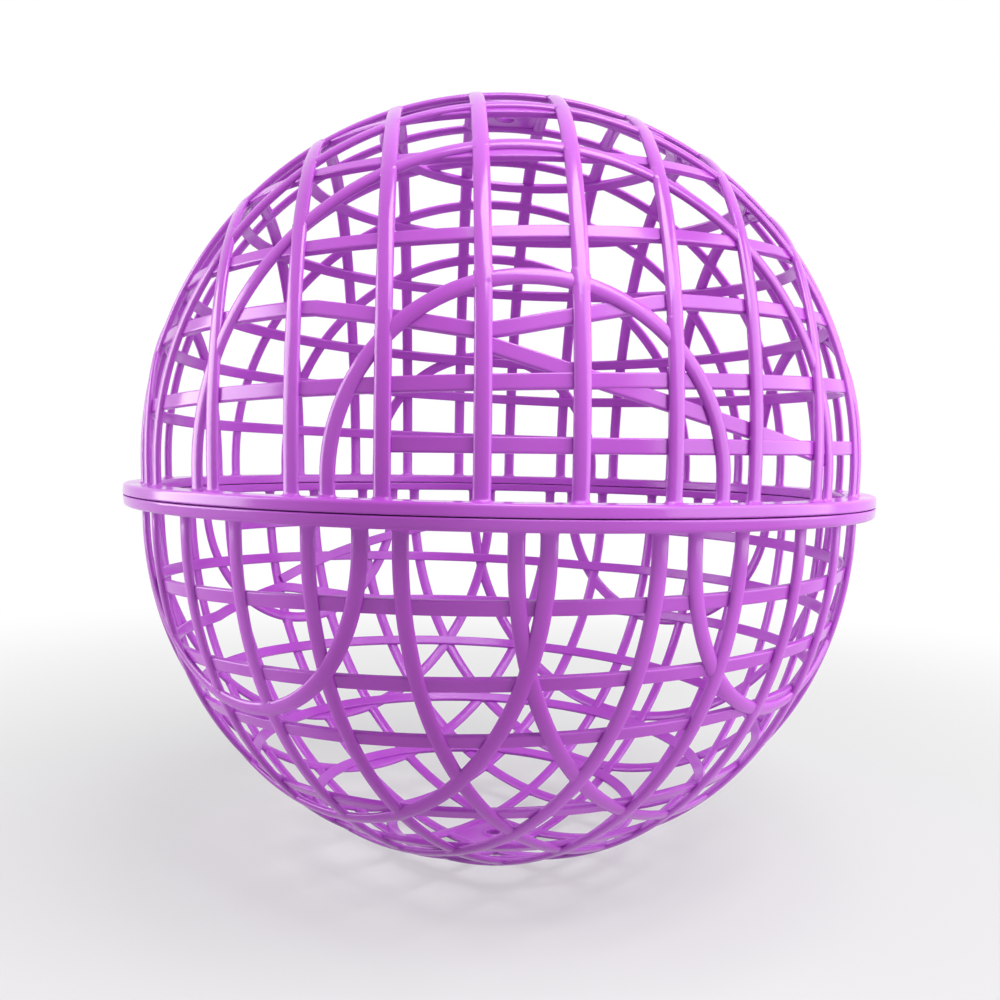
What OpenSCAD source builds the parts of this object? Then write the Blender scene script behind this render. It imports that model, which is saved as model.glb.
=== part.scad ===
// Round cage of two identical moulded half-cages that meet at a flat rim.
// Each half has a rim, two families of flat ribs in upright parallel planes, a flat band
// that climbs in a spiral inside the ribs, one slanting tie and a plate at the pole.
// The lower half is the same moulding, turned over and turned on by about an eighth of a turn.
// Frame: Z up, origin on the floor under the middle of the ball, millimetres.

/* [Dome] */
// Radius of the rib centrelines on the dome
dome_r = 150; // [110:1:200]
// Height of the dome's centre above the parting plane, where the ribs run straight
skirt_h = 10; // [7:0.5:20]
// Turn of the lower half against the upper half, in degrees
lower_turn = 45.3; // [0:0.1:90]

/* [Rim] */
// How far the rim reaches outside the rib centrelines
rim_out = 8; // [5:0.5:14]
// How far the rim reaches inside the rib centrelines
rim_in = 5.5; // [4.5:0.5:14]
// Thickness of one rim
rim_t = 4; // [3:0.1:6]
// Chamfer on the rim's edges
rim_chamfer = 0.7; // [0.2:0.1:1.4]
// Gap between the two rims, set by the locating pads
rim_gap = 0.6; // [0.3:0.1:1.5]
// Number of locating pads on each rim
pad_count = 12; // [4:1:18]
// Length of a locating pad along the rim
pad_l = 6; // [3:0.5:9]
// Width of a locating pad across the rim
pad_w = 5; // [3:0.5:8]

/* [Ribs] */
// Width along the dome of the long ribs, which run front to back on the upper half
long_rib_w = 5.6; // [4:0.1:7]
// Thickness of the long ribs, outwards
long_rib_t = 2.8; // [2.4:0.1:4]
// Width along the dome of the cross ribs, which run left to right on the upper half
cross_rib_w = 5.4; // [4:0.1:7]
// Thickness of the cross ribs, outwards
cross_rib_t = 2.7; // [2.4:0.1:4]
// Radius of the rounded edges of all ribs
rib_edge = 1.1; // [0.4:0.1:1.1]
// How far the cross ribs' outside lies inside the long ribs' outside
cross_rib_inset = 0.15; // [0.1:0.05:0.5]
// Angle along the rim from a family's middle plane to its first pair of ribs, in degrees
rib_angle_1 = 5.7; // [4:0.1:8]
// The same angle for the second pair, in degrees
rib_angle_2 = 17.4; // [14:0.1:21]
// The same angle for the third pair, in degrees
rib_angle_3 = 29.5; // [26:0.1:33]
// The same angle for the fourth pair, in degrees
rib_angle_4 = 43.1; // [38:0.1:48]
// The same angle for the fifth pair, in degrees
rib_angle_5 = 65.5; // [58:0.1:70]
// Height of the flared foot where a rib stands on the rim
foot_h = 2.6; // [1:0.1:4]
// How far the foot flares out beyond the rib
foot_flare = 1.2; // [0.5:0.1:2]

/* [Band] */
// Width of the flat band, along the dome
band_w = 5; // [3:0.1:7]
// Thickness of the flat band
band_t = 2.2; // [1.4:0.1:3]
// How far the band is sunk into the inside of the ribs
band_bite = 0.9; // [0.7:0.1:1.4]
// Number of turns of the band
band_turns = 6; // [3:1:6]
// Latitude of the band's start above the dome's centre, in degrees
band_start_lat = 4.2; // [3:0.1:8]
// Climb of the first turn, in degrees of latitude
band_climb = 7.2; // [6:0.1:8]
// Extra climb with the square of the turns, in degrees of latitude
band_growth = 0.7; // [0.2:0.05:0.8]

/* [Tie] */
// Latitude of the tie's lower end, in degrees
tie_low_lat = 3.3; // [3:0.1:7]
// How far the tie's upper end lies below the middle of the band, in degrees of latitude
tie_drop = 1.4; // [0:0.1:1.5]
// How far the tie sags in the middle, in degrees of latitude
tie_sag = 1; // [0:0.1:3]
// How far the tie draws the band towards the rim, in degrees of latitude
tie_pull = 4.2; // [0:0.1:5]
// Angle on each side of the tie over which the band is drawn in, in degrees
tie_reach = 24; // [20:1:60]
// Depth of the tie's outer face behind the band's outer face
tie_depth = 0.3; // [0.2:0.1:1.2]

/* [Pole plate] */
// Thickness of the plate
plate_t = 2.4; // [1.6:0.1:4]
// How far the plate stands proud of the ribs outside, so that the cage stands on it
plate_proud = 0.2; // [0:0.1:0.6]
// How far the plate's edges run past the middle of the ribs round it
plate_lap = 0.6; // [0.2:0.1:1.5]
// Diameter of the hole in the plate
plate_hole_d = 6.5; // [3:0.1:10]
// Width of the raised lip round the hole
lip_w = 1.6; // [1:0.1:3]
// Height of the raised lip, on the inside
lip_h = 0.9; // [0.4:0.1:2]

/* [Hidden] */
halves = ["upper", "lower"];
rib_angles = [rib_angle_1, rib_angle_2, rib_angle_3, rib_angle_4, rib_angle_5];
rib_pairs = len(rib_angles);
turn_list = [1 : band_turns];
pair_list = [1 : rib_pairs];

$fn = 96;
plastic = "#b44fd8";
plastic_dark = "#9a3cc0";
plastic_light = "#c878e6";

// Section of a rib: a flat bar with rounded edges, thickness along x and width along y,
// turned so that its thickness points straight out of the dome at an angle from the rib's plane
function bar_section(w, t, grow = 0) = [
    for (corner = [0 : 3], step = [0 : 2])
        let (
            a = 90 * corner + 45 * step,
            x = (t / 2 - rib_edge) * (corner == 0 || corner == 3 ? 1 : -1),
            y = (w / 2 - rib_edge) * (corner < 2 ? 1 : -1)
        )
        [x + (rib_edge + grow) * cos(a), y + (rib_edge + grow) * sin(a)]
];
function turned(points, angle) = [
    for (p = points) [p[0] * cos(angle) - p[1] * sin(angle), p[0] * sin(angle) + p[1] * cos(angle)]
];

// The cross ribs' centreline, so that the two families are almost flush on the outside
cross_dome_r = dome_r + long_rib_t / 2 - cross_rib_t / 2 - cross_rib_inset;
// Height of the parting plane above the floor: the lower pole plate, just proud of the ribs, rests on it
long_apex = dome_r * cos(rib_angle_1);
long_crown = max([for (p = turned(bar_section(long_rib_w, long_rib_t), rib_angle_1)) p[0]]);
pole_h = skirt_h + long_apex + long_crown + plate_proud;
parting_z = pole_h;
rim_outer_r = dome_r + rim_out;
rim_inner_r = dome_r - rim_in;
rim_bottom = rim_gap / 2;
rim_top = rim_bottom + rim_t;
// The band is sunk into whichever family's inside lies further out
rib_inside_r = max(dome_r - long_rib_t / 2, cross_dome_r - cross_rib_t / 2);
band_outer_r = rib_inside_r + band_bite;
band_inner_r = band_outer_r - band_t;
tie_outer_r = band_outer_r - tie_depth;
tie_inner_r = tie_outer_r - band_t;
// Directions from +X: the band starts on a long rib of the second pair,
// and the tie runs from a long rib of the first pair to a cross rib of the fourth
band_start = -90 - rib_angle_2;
tie_top = -90 - rib_angle_1;
tie_sweep = -rib_angle_4 - tie_top;
// Turn on which the tie's upper end sits, counted from the band's start
tie_turn = 2 + (tie_top - band_start) / 360;
// Steps of the swept bands
steps_per_turn = 60;
tie_steps = 12;

// How far the moulded band strays from an even climb at each quarter turn, in degrees of latitude
band_stray = [
    0, -1, -2, -2.5, -1, 0, -2, -1, 0, 0, -4, -2.5,
    -2, -0.5, 0.5, 0.5, 0.5, 0.5, 0.5, 0.5, 0.5, 0.5, 0.5, 0.5, 0
];
function stray(turns) =
    let (
        quarter = min(max(4 * turns, 0), len(band_stray) - 1),
        i = min(floor(quarter), len(band_stray) - 2)
    )
    band_stray[i] + (band_stray[i + 1] - band_stray[i]) * (quarter - i);

// Latitude of the band after a number of turns, drawn in where the tie joins it
function tie_draw(turns) = tie_pull * max(0, 1 - abs(turns - tie_turn) * 360 / tie_reach);
function band_lat(turns) =
    band_start_lat + band_climb * turns + band_growth * pow(turns, 2) + stray(turns) - tie_draw(turns);
tie_top_lat = band_lat(tie_turn) - tie_drop;

// Unit vector from the dome's centre towards a direction and a latitude
function outward(dir, lat) = [cos(lat) * cos(dir), cos(lat) * sin(dir), sin(lat)];
function unit(v) = v / norm(v);

// Unit vectors along a whole band, one per station
function band_path(from_turn, to_turn, steps) = [
    for (i = [-1 : steps + 1])
        let (turns = from_turn + (to_turn - from_turn) * i / steps)
        outward(band_start + 360 * turns, band_lat(turns))
];
function tie_path(steps) = [
    for (i = [-1 : steps + 1])
        let (
            part = i / steps,
            lat = tie_top_lat + (tie_low_lat - tie_top_lat) * part - tie_sag * sin(180 * part)
        )
        outward(tie_top + tie_sweep * part, lat)
];

// Flat strip swept along unit vectors on the dome, with one spare station beyond each end
module strip(path, outer_r, inner_r) {
    stations = len(path) - 2;
    centre = [0, 0, skirt_h];
    corners = [
        for (i = [1 : stations])
            let (
                out = path[i],
                across = unit(cross(out, path[i + 1] - path[i - 1])) * band_w / 2
            )
            each [
                centre + out * outer_r - across,
                centre + out * outer_r + across,
                centre + out * inner_r + across,
                centre + out * inner_r - across
            ]
    ];
    last = 4 * (stations - 1);
    sides = [
        for (i = [0 : stations - 2], j = [0 : 3])
            let (
                a = 4 * i + j,
                b = 4 * i + (j + 1) % 4,
                c = b + 4,
                d = a + 4
            )
            each [[a, b, c], [a, c, d]]
    ];
    ends = [[0, 2, 1], [0, 3, 2], [last, last + 1, last + 2], [last, last + 2, last + 3]];
    polyhedron(points = corners, faces = [for (f = concat(sides, ends)) [f[2], f[1], f[0]]]);
}

// One half's own frame, with the parting plane at zero and the pole up, put in its place
module in_half(half) {
    translate([0, 0, parting_z])
        if (half == "upper") children();
        else rotate([0, 0, lower_turn]) rotate([180, 0, 0]) children();
}

// Rim: flat ring with chamfered edges, and the pads that touch the other rim
module rim(half) {
    color(plastic) in_half(half) union() {
        rotate_extrude() polygon([
            [rim_inner_r + rim_chamfer, rim_bottom],
            [rim_outer_r - rim_chamfer, rim_bottom],
            [rim_outer_r, rim_bottom + rim_chamfer],
            [rim_outer_r, rim_top - rim_chamfer],
            [rim_outer_r - rim_chamfer, rim_top],
            [rim_inner_r + rim_chamfer, rim_top],
            [rim_inner_r, rim_top - rim_chamfer],
            [rim_inner_r, rim_bottom + rim_chamfer]
        ]);
        for (i = [0 : pad_count - 1])
            rotate([0, 0, (i + 0.5) * 360 / pad_count])
                translate([(rim_inner_r + rim_outer_r) / 2, 0, 0])
                    translate([-pad_w / 2, -pad_l / 2, -rim_bottom])
                        cube([pad_w, pad_l, rim_gap + rim_t / 2]);
    }
}

// Foot that narrows from a wide outline at the rim to the rib's own outline
module foot(wide, narrow) {
    n = len(wide);
    sides = [
        for (i = [0 : n - 1])
            let (j = (i + 1) % n)
            each [[i, j, n + j], [i, n + j, n + i]]
    ];
    caps = [for (i = [1 : n - 2]) each [[0, i + 1, i], [n, n + i, n + i + 1]]];
    points = concat([for (p = wide) [p[0], p[1], 0]], [for (p = narrow) [p[0], p[1], foot_h]]);
    polyhedron(points = points, faces = concat(sides, caps));
}

// One arched rib, in the upright plane at an angle along the rim from the family's middle:
// a half ring on two straight legs with flared feet
module rib(family_r, angle, w, t) {
    arc_r = family_r * cos(angle);
    section = turned(bar_section(w, t), angle);
    flared = turned(bar_section(w, t, foot_flare), angle);
    translate([family_r * sin(angle), 0, 0]) union() {
        translate([0, 0, skirt_h]) rotate([90, 0, 90])
            rotate_extrude(angle = 180) translate([arc_r, 0]) polygon(section);
        for (end = [0, 1]) mirror([0, end, 0]) translate([0, arc_r, rim_top]) {
            linear_extrude(skirt_h - rim_top) polygon([for (p = section) [p[1], p[0]]]);
            foot([for (p = flared) [p[1], p[0]]], [for (p = section) [p[1], p[0]]]);
        }
    }
}

// Pair of ribs at equal angles on both sides of a family's middle plane
module rib_pair(family_r, angle, w, t) {
    for (side = [-1, 1]) rib(family_r, side * angle, w, t);
}

module long_ribs(half, i) {
    color(plastic) in_half(half) rib_pair(dome_r, rib_angles[i - 1], long_rib_w, long_rib_t);
}

module cross_ribs(half, i) {
    color(plastic_dark) in_half(half) rotate([0, 0, 90])
        rib_pair(cross_dome_r, rib_angles[i - 1], cross_rib_w, cross_rib_t);
}

// One turn of the flat band, which meets the next turn end to end
module band_turn(half, i) {
    color(plastic_light) in_half(half)
        strip(band_path(i - 1, i, steps_per_turn), band_outer_r, band_inner_r);
}

// Tie: flat strip that slants from the third turn down to the first
module band_tie(half) {
    color(plastic_light) in_half(half)
        strip(tie_path(tie_steps), tie_outer_r, tie_inner_r);
}

// Pole plate: square plate across the middle cell, with a lipped hole
module pole_plate(half) {
    side = 2 * (dome_r * sin(rib_angle_1) + plate_lap);
    low = pole_h - plate_t;
    color(plastic) in_half(half) translate([0, 0, low]) difference() {
        union() {
            translate([-side / 2, -side / 2, 0]) cube([side, side, plate_t]);
            translate([0, 0, -lip_h]) cylinder(d = plate_hole_d + 2 * lip_w, h = lip_h + plate_t / 2);
        }
        translate([0, 0, -2 * lip_h]) cylinder(d = plate_hole_d, h = plate_t + 4 * lip_h);
    }
}

for (half = halves) {
    rim(half);
    pole_plate(half);
    band_tie(half);
    for (i = pair_list) {
        long_ribs(half, i);
        cross_ribs(half, i);
    }
    for (i = turn_list)
        band_turn(half, i);
}
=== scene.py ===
import math

import bmesh
import bpy
import numpy as np
from mathutils import Matrix, Vector


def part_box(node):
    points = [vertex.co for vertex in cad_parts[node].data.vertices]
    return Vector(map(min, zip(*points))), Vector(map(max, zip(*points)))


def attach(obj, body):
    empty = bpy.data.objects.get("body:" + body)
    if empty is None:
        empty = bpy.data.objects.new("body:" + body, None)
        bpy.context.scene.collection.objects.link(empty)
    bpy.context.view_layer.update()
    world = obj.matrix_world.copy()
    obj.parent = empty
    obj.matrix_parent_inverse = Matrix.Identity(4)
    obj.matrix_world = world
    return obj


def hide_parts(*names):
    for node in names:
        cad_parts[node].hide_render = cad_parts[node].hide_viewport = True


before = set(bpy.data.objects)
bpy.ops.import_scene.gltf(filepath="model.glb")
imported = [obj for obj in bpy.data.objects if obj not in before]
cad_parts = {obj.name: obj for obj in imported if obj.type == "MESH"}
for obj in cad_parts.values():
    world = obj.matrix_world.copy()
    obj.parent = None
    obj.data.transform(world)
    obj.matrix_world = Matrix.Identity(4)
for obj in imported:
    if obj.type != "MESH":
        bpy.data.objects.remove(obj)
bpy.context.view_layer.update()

# Rims
# A flat flange round the mouth of each half-cage, in purple polypropylene, with round edges and drafted
# walls. The two rims lie on each other, held a hair apart by low pads, so a dark seam shows between them.
# The faces that meet are rubbed dull.
MM = 0.001
lower_turn = math.radians(45.3)
parting_z = (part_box("upper_rim")[0].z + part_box("lower_rim")[1].z) / 2

# Both halves are one moulding. The lower one is turned over, then turned on so that its ribs cross.
on_parting_plane = Matrix.Translation((0, 0, parting_z))
turned_over = Matrix.Rotation(lower_turn, 4, "Z") @ Matrix.Rotation(math.pi, 4, "X")
halves = {"upper": on_parting_plane, "lower": on_parting_plane @ turned_over}


def top_of(node):
    """Height of an upper node's highest point above the parting plane."""
    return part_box(node)[1].z - parting_z


rim_outer_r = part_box("upper_rim")[1].x
rim_w = 13.5 * MM
rim_top = top_of("upper_rim")
seam_gap = 0.4 * MM
rim_t = rim_top - seam_gap / 2
rim_edge_r = 1.1 * MM
seam_edge_r = 0.5 * MM
rim_draft = 0.35 * MM
rim_support = 0.4 * MM
rim_steps = 288
rim_edge_steps = 5
pad_count = 12
pad_size = Vector((5, 6, 1.2)) * MM
pad_corner_r = 0.5 * MM
pad_corner_steps = 3

# The plastic is semi-gloss and lets a little light into its skin. Its colour drifts with the flow of the
# melt, and handling has left it a touch duller in patches, over a fine mould texture.
deep_purple = (0.41, 0.046, 0.51, 1)
clear_purple = (0.55, 0.105, 0.68, 1)
gloss_range = (0.13, 0.2)
rubbed_gloss_range = (0.5, 0.62)
plastic_ior = 1.49
glow_share = 0.06
glow_tint = (1.0, 0.35, 1.0)
glow_depth = 2.5 * MM
flow_scale = 14
flow_stretch = (1, 1, 0.5)
handling_scale = 30
texture_scale = 900
texture_strength = 0.2
texture_depth = 0.06 * MM
noise_detail = 1
noise_low, noise_high = 0.25, 0.75


def purple_polypropylene(name, gloss):
    """The moulded plastic, with its roughness drifting over a range."""
    material = bpy.data.materials.new(name)
    material.use_nodes = True
    nodes = material.node_tree.nodes
    link = material.node_tree.links.new
    skin_shader = nodes["Principled BSDF"]
    skin_shader.inputs["IOR"].default_value = plastic_ior
    skin_shader.inputs["Subsurface Weight"].default_value = glow_share
    skin_shader.inputs["Subsurface Radius"].default_value = glow_tint
    skin_shader.inputs["Subsurface Scale"].default_value = glow_depth
    place = nodes.new("ShaderNodeTexCoord")

    def noise(scale, stretch=(1, 1, 1)):
        mapping = nodes.new("ShaderNodeMapping")
        mapping.inputs["Scale"].default_value = stretch
        texture = nodes.new("ShaderNodeTexNoise")
        texture.inputs["Scale"].default_value = scale
        texture.inputs["Detail"].default_value = noise_detail
        link(place.outputs["Object"], mapping.inputs["Vector"])
        link(mapping.outputs["Vector"], texture.inputs["Vector"])
        return texture.outputs["Fac"]

    melt_flow = nodes.new("ShaderNodeValToRGB")
    melt_flow.color_ramp.interpolation = "EASE"
    melt_flow.color_ramp.elements[0].position = noise_low
    melt_flow.color_ramp.elements[0].color = deep_purple
    melt_flow.color_ramp.elements[1].position = noise_high
    melt_flow.color_ramp.elements[1].color = clear_purple
    link(noise(flow_scale, flow_stretch), melt_flow.inputs["Fac"])
    link(melt_flow.outputs["Color"], skin_shader.inputs["Base Color"])

    handling = nodes.new("ShaderNodeMapRange")
    handling.interpolation_type = "SMOOTHSTEP"
    handling.inputs["From Min"].default_value = noise_low
    handling.inputs["From Max"].default_value = noise_high
    handling.inputs["To Min"].default_value = gloss[0]
    handling.inputs["To Max"].default_value = gloss[1]
    link(noise(handling_scale), handling.inputs["Value"])
    link(handling.outputs["Result"], skin_shader.inputs["Roughness"])

    mould_texture = nodes.new("ShaderNodeBump")
    mould_texture.inputs["Strength"].default_value = texture_strength
    mould_texture.inputs["Distance"].default_value = texture_depth
    link(noise(texture_scale), mould_texture.inputs["Height"])
    link(mould_texture.outputs["Normal"], skin_shader.inputs["Normal"])
    return material


plastic = purple_polypropylene("purple_polypropylene", gloss_range)
rubbed_plastic = purple_polypropylene("rubbed_polypropylene", rubbed_gloss_range)


def skin_rows(rows, joined=False):
    """A closed shell over rows of points, each row a loop: joined ties the last row to the first."""
    count, around = rows.shape[:2]
    faces = []
    for i in range(count if joined else count - 1):
        here, there = i * around, (i + 1) % count * around
        for j in range(around):
            k = (j + 1) % around
            faces.append((here + j, there + j, there + k, here + k))
    if not joined:
        faces.append(tuple(range(around)))
        faces.append(tuple(range((count - 1) * around, count * around)))
    return rows.reshape(-1, 3), faces


def mould_piece(half, name, shells, *nodes):
    """One piece of a half-cage from closed shells in the half's own frame, in place of CAD nodes."""
    points, faces = [], []
    for shell_points, shell_faces in shells:
        faces += [tuple(len(points) + i for i in face) for face in shell_faces]
        points += shell_points.tolist()
    mesh = bpy.data.meshes.new(f"{half}_{name}")
    mesh.from_pydata(points, [], faces)
    mesh.transform(halves[half])
    shape = bmesh.new()
    shape.from_mesh(mesh)
    bmesh.ops.recalc_face_normals(shape, faces=shape.faces)
    shape.to_mesh(mesh)
    shape.free()
    mesh.polygons.foreach_set("use_smooth", [True] * len(mesh.polygons))
    mesh.materials.append(plastic)
    piece = bpy.data.objects.new(f"{half}_{name}", mesh)
    bpy.context.scene.collection.objects.link(piece)
    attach(piece, f"{half}_half")
    if nodes:
        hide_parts(*[f"{half}_{node}" for node in nodes])
    return piece


def rounded_box(width, height, corner_r, steps, support=0.0):
    """Outline of a rectangle with round corners about the origin, with a support point beside each arc."""
    outline = []
    for quarter, radius in enumerate(np.broadcast_to(corner_r, 4)):
        sign = ((1, 1), (-1, 1), (-1, -1), (1, -1))[quarter]
        centre = np.array([sign[0] * (width / 2 - radius), sign[1] * (height / 2 - radius)])
        turn = np.radians(90 * quarter + np.linspace(0, 90, steps))
        arc = centre + radius * np.stack([np.cos(turn), np.sin(turn)], 1)
        if support:
            before = arc[0] - support * np.array([-np.sin(turn[0]), np.cos(turn[0])])
            after = arc[-1] + support * np.array([-np.sin(turn[-1]), np.cos(turn[-1])])
            arc = np.vstack([before, arc, after])
        outline.append(arc)
    return np.vstack(outline)


def ring_rows(profile, steps):
    """Rows of a profile of radii and heights turned about the pole axis."""
    turn = np.linspace(0, 2 * np.pi, steps, endpoint=False)[:, None]
    radius, height = profile[:, 0], profile[:, 1]
    return np.stack([radius * np.cos(turn), radius * np.sin(turn), height + 0 * turn], 2)


def pad_rows(turn):
    """One locating pad: a low block with soft corners, from inside the rim to the other rim's face."""
    outline = rounded_box(pad_size.x, pad_size.y, pad_corner_r, pad_corner_steps)
    out = rim_outer_r - rim_w / 2 + outline[:, 0]
    aside = outline[:, 1]
    x = out * np.cos(turn) - aside * np.sin(turn)
    y = out * np.sin(turn) + aside * np.cos(turn)
    low = -seam_gap / 2
    return np.array([np.stack([x, y, 0 * x + height], 1) for height in (low, low + pad_size.z)])


rim_corners = (rim_edge_r, rim_edge_r, seam_edge_r, seam_edge_r)
rim_profile = rounded_box(rim_w, rim_t, rim_corners, rim_edge_steps, rim_support)
rim_profile[:, 0] *= 1 - rim_draft / rim_w * (1 + 2 * rim_profile[:, 1] / rim_t)
rim_profile += (rim_outer_r - rim_w / 2, rim_top - rim_t / 2)
rim_shell = skin_rows(ring_rows(rim_profile, rim_steps), joined=True)
pad_turns = (np.arange(pad_count) + 0.5) * 2 * np.pi / pad_count
for half in halves:
    rim = mould_piece(half, "moulded_rim", [rim_shell], "rim")
    rim.data.materials.append(rubbed_plastic)
    for face in rim.data.polygons:
        if abs(face.center.z - parting_z) < seam_gap:
            face.material_index = 1
    mould_piece(half, "rim_pads", [skin_rows(pad_rows(turn)) for turn in pad_turns])

# Long ribs
# Five pairs of flat arches that stand on the rim in parallel upright planes, each turned flat to the
# dome, with round edges and a crown. They leave the mould in one with the cross ribs, so a small fillet
# fills each corner where two ribs cross, and a wider one each foot.
rim_reach = 8 * MM
dome_r = rim_outer_r - rim_reach
skirt_h = 10 * MM
long_rib_w = 5.6 * MM
long_rib_t = 2.8 * MM
cross_rib_w = 5.4 * MM
cross_rib_t = 2.7 * MM
cross_rib_inset = 0.45 * MM
cross_dome_r = dome_r + (long_rib_t - cross_rib_t) / 2 - cross_rib_inset
rib_angles = np.radians([5.7, 17.4, 29.5, 43.1, 65.5])
rib_fullness = 2.2
rib_sides = 24
rib_step = 3.2 * MM
least_step = 0.05 * MM
rounding_slack = 1e-9
rib_sink = 0.5 * MM
leg_station = 0.7
foot_fillet_r = 1.3 * MM
foot_shares = (-rib_sink / foot_fillet_r, 0, 0.08, 0.2, 0.4, 0.65, 1)
cross_fillet_r = 0.45 * MM
fillet_shares = (0, 0.3, 0.55, 0.75, 0.9, 1)
meeting_limit = 0.98


def fillet_rise(distance, radius):
    """How far a fillet has risen, from nothing at its start to its radius."""
    run = np.clip(distance, 0, radius)
    return radius - np.sqrt(radius**2 - run**2)


def corner_fillets(arch_r, offset):
    """Where cross ribs meet a long rib: place along the arch, side, direction, start and corner angle."""
    corners = []
    for crossing_y in np.outer(cross_dome_r * np.sin(rib_angles), (-1, 1)).flat:
        if offset**2 + crossing_y**2 > meeting_limit * dome_r**2:
            continue
        height = math.sqrt(arch_r**2 - crossing_y**2)
        along = Vector((0, -height, crossing_y)).normalized()
        outward = Vector((offset, crossing_y, height)).normalized()
        sideways = along.cross(outward)
        other = Vector((height, 0, -offset)).normalized()
        if other.dot(sideways) < 0:
            other = -other
        meeting = math.acos(max(-1, min(1, along.dot(other))))
        place = arch_r * math.acos(crossing_y / arch_r)
        for side, direction in ((1, 1), (1, -1), (-1, 1), (-1, -1)):
            angle = meeting if side == direction else math.pi - meeting
            corner = (cross_rib_w + long_rib_w * math.cos(angle)) / 2 / math.sin(angle)
            start = corner + cross_fillet_r / math.tan(angle / 2)
            corners.append((place, side, direction, start, angle))
    return corners


def rib_stations(arch_r, corners):
    """Places along a rib, from inside the rim over the arch to the other foot, dense at the fillets."""
    leg = skirt_h - rim_top
    half_round = math.pi * arch_r
    places = list(np.arange(0, half_round, rib_step)) + [half_round]
    for foot, inward in ((-leg, 1), (half_round + leg, -1)):
        places += [foot + inward * share * foot_fillet_r for share in foot_shares]
        places.append(foot + inward * leg * leg_station)
    for place, _, direction, start, _ in corners:
        places += [place + direction * (start - share * cross_fillet_r) for share in fillet_shares]
    reach = leg + rib_sink + rounding_slack
    places = np.sort([p for p in places if -reach <= p <= half_round + reach])
    return places[np.append(True, np.diff(places) > least_step)]


def rib_rows(family_r, lean, width, thickness, corners):
    """Rows of a flat arched rib in the plane at a lean from the middle, with its feet and corners."""
    offset, arch_r = family_r * math.sin(lean), family_r * math.cos(lean)
    leg = skirt_h - rim_top
    half_round = math.pi * arch_r
    places = rib_stations(arch_r, corners)
    turn = np.clip(places, 0, half_round) / arch_r
    below = np.minimum(places, 0) - np.maximum(places - half_round, 0)
    ring = np.stack([0 * turn + offset, arch_r * np.cos(turn), arch_r * np.sin(turn)], 1)
    centre = ring + np.stack([0 * turn, 0 * turn, skirt_h + below], 1)
    outward = ring / family_r
    along = np.stack([0 * turn, -np.sin(turn), np.cos(turn)], 1)
    sideways = np.cross(along, outward)
    from_foot = np.minimum(places + leg, half_round + leg - places)
    foot = fillet_rise(foot_fillet_r - from_foot, foot_fillet_r)
    reach = {1: width / 2 + foot, -1: width / 2 + foot}
    for place, side, direction, start, angle in corners:
        beyond = direction * (places - place)
        limit = min(cross_fillet_r, cross_fillet_r / math.tan(angle / 2) * (1 - math.cos(angle)))
        rise = fillet_rise(np.minimum(start - beyond, limit), cross_fillet_r) * (beyond >= 0)
        reach[side] = np.maximum(reach[side], width / 2 + rise)
    rows = []
    for step in range(rib_sides):
        c, s = math.cos(2 * math.pi * step / rib_sides), math.sin(2 * math.pi * step / rib_sides)
        across = math.copysign(abs(c) ** (2 / rib_fullness), c) * (reach[1] if c > 0 else reach[-1])
        out = math.copysign(abs(s) ** (2 / rib_fullness), s) * (thickness / 2 + foot)
        rows.append(centre + sideways * across[:, None] + outward * out[:, None])
    return np.stack(rows, 1)


for half in halves:
    for number, angle in enumerate(rib_angles, 1):
        arches = []
        for lean in (-angle, angle):
            corners = corner_fillets(dome_r * math.cos(lean), dome_r * math.sin(lean))
            arches.append(skin_rows(rib_rows(dome_r, lean, long_rib_w, long_rib_t, corners)))
        mould_piece(half, f"long_arches_{number}", arches, f"long_ribs_{number}")

# Cross ribs
# Five pairs of slightly thinner arches, square to the long ribs and set a little deeper, so that the
# long ribs pass over them. They are moulded in one with the long ribs and the rim.
quarter_turn = np.array([[0, 1, 0], [-1, 0, 0], [0, 0, 1]])
for half in halves:
    for number, angle in enumerate(rib_angles, 1):
        arches = []
        for lean in (-angle, angle):
            rows = rib_rows(cross_dome_r, lean, cross_rib_w, cross_rib_t, [])
            arches.append(skin_rows(rows @ quarter_turn))
        mould_piece(half, f"cross_arches_{number}", arches, f"cross_ribs_{number}")

# Spiral band
# One flat strip that climbs inside the ribs from near the rim to near the pole, sunk a little into each
# rib that it passes. Its edges are rounded, and the tie draws it towards the rim on its third turn.
band_w = 5 * MM
band_t = 2.2 * MM
band_bite = 0.9 * MM
band_outer_r = max(dome_r - long_rib_t / 2, cross_dome_r - cross_rib_t / 2) + band_bite
band_edge_r = 0.55 * MM
band_edge_steps = 4
band_support = 0.3 * MM
band_turns = 6
band_start_lat = 4.2
band_climb = 7.2
band_growth = 0.7

# How the real band wanders off an even climb, in degrees at each quarter turn.
band_stray = (
    0, -1, -2, -2.5, -1, 0, -2, -1, 0, 0, -4, -2.5,
    -2, -0.5, 0.5, 0.5, 0.5, 0.5, 0.5, 0.5, 0.5, 0.5, 0.5, 0.5, 0,
)
strays_per_turn = 4
steps_per_turn = 96
band_start = -90 - math.degrees(rib_angles[1])
band_end_share = 0.0002
end_shares = np.array([0.1, 0.3, 0.6, 1])
tie_top = -90 - math.degrees(rib_angles[0])
turns_before_tie = 2
tie_turn = turns_before_tie + (tie_top - band_start) / 360
tie_pull = 4.2
tie_reach = 24


def band_latitude(turns):
    """Latitude of the band in degrees after a number of turns: an even climb with the moulding's strays."""
    stray = np.interp(strays_per_turn * np.asarray(turns), np.arange(len(band_stray)), band_stray)
    drawn_in = tie_pull * np.maximum(0, 1 - np.abs(turns - tie_turn) * 360 / tie_reach)
    return band_start_lat + band_climb * turns + band_growth * turns**2 + stray - drawn_in


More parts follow.
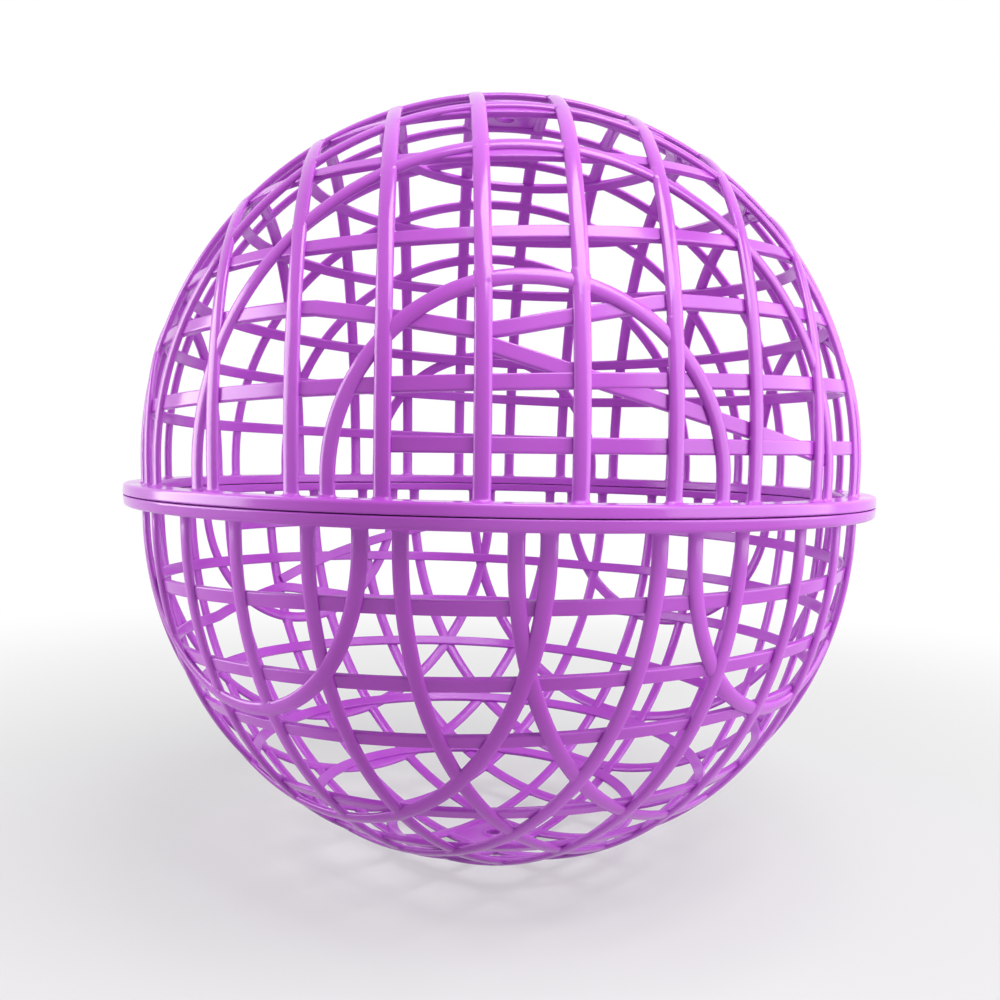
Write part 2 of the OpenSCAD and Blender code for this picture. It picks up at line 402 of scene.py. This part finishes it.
def on_dome(direction, latitude):
    """Unit vectors from the dome's centre towards directions and latitudes in degrees."""
    d, lat = np.radians(direction), np.radians(latitude)
    return np.stack([np.cos(lat) * np.cos(d), np.cos(lat) * np.sin(d), np.sin(lat)], -1)


def strip_rows(path, outer_r):
    """Rows of a flat strip along unit vectors on the dome, with rounded edges and rounded ends."""
    along = np.gradient(path, axis=0)
    across = np.cross(path, along)
    across /= np.linalg.norm(across, axis=1)[:, None]
    section = rounded_box(band_w, band_t, band_edge_r, band_edge_steps, band_support)
    run = np.append(0, np.cumsum(np.linalg.norm(np.diff(path, axis=0), axis=1))) * outer_r
    to_end = np.minimum(run, run[-1] - run)
    shrink = fillet_rise(band_edge_r - to_end, band_edge_r)
    wide = 1 - shrink / (band_w / 2)
    thick = 1 - shrink / (band_t / 2)
    middle = path * (outer_r - band_t / 2) + (0, 0, skirt_h)
    side = across[:, None] * (wide[:, None] * section[None, :, 0])[..., None]
    out = path[:, None] * (thick[:, None] * section[None, :, 1])[..., None]
    return middle[:, None] + side + out


def rounded_ends(start, end, count, end_share):
    """Even values from start to end, with extra values close to both ends."""
    extra = end_shares * end_share * (end - start)
    return np.unique(np.concatenate([np.linspace(start, end, count), start + extra, end - extra]))


band_turn_values = rounded_ends(0, band_turns, band_turns * steps_per_turn + 1, band_end_share)
band_path = on_dome(band_start + 360 * band_turn_values, band_latitude(band_turn_values))
turn_nodes = [f"band_turn_{turn}" for turn in range(1, band_turns + 1)]
for half in halves:
    mould_piece(half, "spiral_band", [skin_rows(strip_rows(band_path, band_outer_r))], *turn_nodes)

# Tie
# One slanting strip of the same section, from the dip in the band's third turn down to its first.
# It is moulded in one with the band, and it is sunk a little into the ribs that it passes.
tie_sweep = 90 - math.degrees(rib_angles[3]) + math.degrees(rib_angles[0])
tie_low_lat = 3.3
tie_drop = 1.4
tie_sag = 1
tie_depth = 0.3 * MM
tie_steps = 41
tie_end_share = 0.005
tie_top_lat = band_latitude(tie_turn) - tie_drop
tie_share = rounded_ends(0, 1, tie_steps, tie_end_share)
tie_lat = tie_top_lat + (tie_low_lat - tie_top_lat) * tie_share - tie_sag * np.sin(np.pi * tie_share)
tie_path = on_dome(tie_top + tie_sweep * tie_share, tie_lat)
tie_shell = skin_rows(strip_rows(tie_path, band_outer_r - tie_depth))
for half in halves:
    mould_piece(half, "slanting_tie", [tie_shell], "band_tie")

# Pole plates
# A square web that closes the cell at each pole, with a lipped hole through it. It is moulded in one
# with the ribs round it, and it stands a hair proud of them, so that the cage rests on it.
plate_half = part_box("upper_pole_plate")[1].x
plate_t = 2.4 * MM
plate_top = top_of("upper_pole_plate")
plate_low = plate_top - plate_t
lip_h = 0.9 * MM
lip_w = 1.6 * MM
lip_low = plate_low - lip_h
hole_r = 3.25 * MM
lip_r = hole_r + lip_w
soft_edge = 0.35 * MM
plate_points = 64
circle, square = 2, 14


def plate_loop(reach, height, squareness):
    """A loop round the hole: squareness 2 is a circle, and a high one is a square with soft corners."""
    turn = np.linspace(0, 2 * np.pi, plate_points, endpoint=False) + np.pi / plate_points
    c, s = np.cos(turn), np.sin(turn)
    radius = reach / (np.abs(c) ** squareness + np.abs(s) ** squareness) ** (1 / squareness)
    return np.stack([radius * c, radius * s, 0 * turn + height], 1)


plate_rows = np.array([
    plate_loop(hole_r, plate_top - soft_edge, circle),
    plate_loop(hole_r + soft_edge, plate_top, circle),
    plate_loop(hole_r + 2 * soft_edge, plate_top, circle),
    plate_loop(plate_half - 2 * soft_edge, plate_top, square),
    plate_loop(plate_half - soft_edge, plate_top, square),
    plate_loop(plate_half, plate_top - soft_edge, square),
    plate_loop(plate_half, plate_low + soft_edge, square),
    plate_loop(plate_half - soft_edge, plate_low, square),
    plate_loop(plate_half - 2 * soft_edge, plate_low, square),
    plate_loop(lip_r + 2 * soft_edge, plate_low, circle),
    plate_loop(lip_r + soft_edge, plate_low, circle),
    plate_loop(lip_r, plate_low - soft_edge, circle),
    plate_loop(lip_r - soft_edge, lip_low, circle),
    plate_loop(hole_r + soft_edge, lip_low, circle),
    plate_loop(hole_r, lip_low + soft_edge, circle),
])
for half in halves:
    mould_piece(half, "pole_square", [skin_rows(plate_rows, joined=True)], "pole_plate")

# Floor
# A plain pale studio floor that fades to white away from the cage. Only the camera and reflections see
# that white, so it isn't a lamp under the cage.
floor_half = 4
floor_grey = 0.55
floor_roughness = 0.8
floor_specular = 0.1
fade_from, fade_to = 0.2, 0.8
near_white = 0.45
floor_mesh = bpy.data.meshes.new("studio_floor")
floor_corners = [(x * floor_half, y * floor_half, 0) for x, y in ((-1, -1), (1, -1), (1, 1), (-1, 1))]
floor_mesh.from_pydata(floor_corners, [], [(0, 1, 2, 3)])
floor = bpy.data.objects.new("studio_floor", floor_mesh)
bpy.context.scene.collection.objects.link(floor)
pale = bpy.data.materials.new("pale_floor")
pale.use_nodes = True
nodes, link = pale.node_tree.nodes, pale.node_tree.links.new
pale_shader = nodes["Principled BSDF"]
pale_shader.inputs["Base Color"].default_value = (floor_grey, floor_grey, floor_grey, 1)
pale_shader.inputs["Roughness"].default_value = floor_roughness
pale_shader.inputs["Specular IOR Level"].default_value = floor_specular
white_light = nodes.new("ShaderNodeEmission")
rays = nodes.new("ShaderNodeLightPath")
place = nodes.new("ShaderNodeTexCoord")
far = nodes.new("ShaderNodeVectorMath")
far.operation = "LENGTH"
fade = nodes.new("ShaderNodeMapRange")
fade.interpolation_type = "SMOOTHSTEP"
fade.inputs["From Min"].default_value = fade_from
fade.inputs["From Max"].default_value = fade_to
fade.inputs["To Min"].default_value = near_white
seen = nodes.new("ShaderNodeMath")
seen.operation = "MAXIMUM"
faded = nodes.new("ShaderNodeMath")
faded.operation = "MULTIPLY"
mix = nodes.new("ShaderNodeMixShader")
link(place.outputs["Object"], far.inputs[0])
link(far.outputs["Value"], fade.inputs["Value"])
link(rays.outputs["Is Camera Ray"], seen.inputs[0])
link(rays.outputs["Is Glossy Ray"], seen.inputs[1])
link(fade.outputs["Result"], faded.inputs[0])
link(seen.outputs["Value"], faded.inputs[1])
link(faded.outputs["Value"], mix.inputs["Fac"])
link(pale_shader.outputs["BSDF"], mix.inputs[1])
link(white_light.outputs["Emission"], mix.inputs[2])
link(mix.outputs["Shader"], nodes["Material Output"].inputs["Surface"])
floor_mesh.materials.append(pale)

# Light
# A white room, dimmer on the camera's side, with a soft box above and in front of the cage. A large
# window on the right and a weaker one on the left light the ribs' sides.
front_level, back_level = 0.02, 0.15
white_level = 1
world = bpy.data.worlds.new("white_room")
bpy.context.scene.world = world
world.use_nodes = True
nodes, link = world.node_tree.nodes, world.node_tree.links.new
room = nodes["Background"]
room.inputs["Color"].default_value = (1, 1, 1, 1)
place = nodes.new("ShaderNodeTexCoord")
direction = nodes.new("ShaderNodeSeparateXYZ")
depth = nodes.new("ShaderNodeMapRange")
depth.inputs["From Min"].default_value = -1
depth.inputs["To Min"].default_value = front_level
depth.inputs["To Max"].default_value = back_level
rays = nodes.new("ShaderNodeLightPath")
seen = nodes.new("ShaderNodeMath")
seen.operation = "MAXIMUM"
mirrored = nodes.new("ShaderNodeMath")
mirrored.operation = "MAXIMUM"
level = nodes.new("ShaderNodeMapRange")
level.inputs["To Max"].default_value = white_level
link(place.outputs["Generated"], direction.inputs["Vector"])
link(direction.outputs["Y"], depth.inputs["Value"])
link(depth.outputs["Result"], level.inputs["To Min"])
link(rays.outputs["Is Camera Ray"], seen.inputs[0])
link(rays.outputs["Is Transmission Ray"], seen.inputs[1])
link(seen.outputs["Value"], mirrored.inputs[0])
link(rays.outputs["Is Glossy Ray"], mirrored.inputs[1])
link(mirrored.outputs["Value"], level.inputs["Value"])
link(level.outputs["Result"], room.inputs["Strength"])


def window(name, place, size, watts):
    """A square soft light that faces the middle of the cage."""
    lamp = bpy.data.lights.new(name, "AREA")
    lamp.size = size
    lamp.energy = watts
    light = bpy.data.objects.new(name, lamp)
    light.location = place
    light.rotation_euler = (Vector((0, 0, parting_z)) - Vector(place)).to_track_quat("-Z", "Y").to_euler()
    bpy.context.scene.collection.objects.link(light)


window("soft_box", place=(0.25, -0.4, 1.3), size=0.8, watts=14)
window("right_window", place=(0.95, -0.35, 0.55), size=1.3, watts=15)
window("left_window", place=(-1.05, 0.05, 0.45), size=0.8, watts=10.5)

# Camera
# It stands in front of the cage, a little left of the long ribs' direction, and looks slightly down.
# Its picture is shifted to frame the cage as the photograph does.
focal_px = 1007.14
picture_px = 1000
sensor_mm = 36
near_clip = 0.01
camera_turn = math.radians(3.672)
camera_distance = 3.0144 * dome_r
camera_rise = 0.133 * dome_r
camera_pitch = math.radians(8.569)
camera_roll = math.radians(1.079)
view_shift_px = (-2.5, 101)
camera_data = bpy.data.cameras.new("photo_camera")
camera_data.sensor_width = sensor_mm
camera_data.lens = focal_px / picture_px * sensor_mm
camera_data.shift_x = -view_shift_px[0] / picture_px
camera_data.shift_y = view_shift_px[1] / picture_px
camera_data.clip_start = near_clip
camera = bpy.data.objects.new("photo_camera", camera_data)
bpy.context.scene.collection.objects.link(camera)
stand = Matrix.Rotation(-camera_turn, 4, "Z") @ Vector((0, -camera_distance, camera_rise))
tilt = Matrix.Rotation(math.pi / 2 - camera_pitch, 4, "X") @ Matrix.Rotation(camera_roll, 4, "Z")
aim = Matrix.Rotation(-camera_turn, 4, "Z") @ tilt
camera.matrix_world = Matrix.Translation(stand + Vector((0, 0, parting_z))) @ aim
bpy.context.scene.camera = camera
bpy.context.scene.view_settings.view_transform = "Standard"
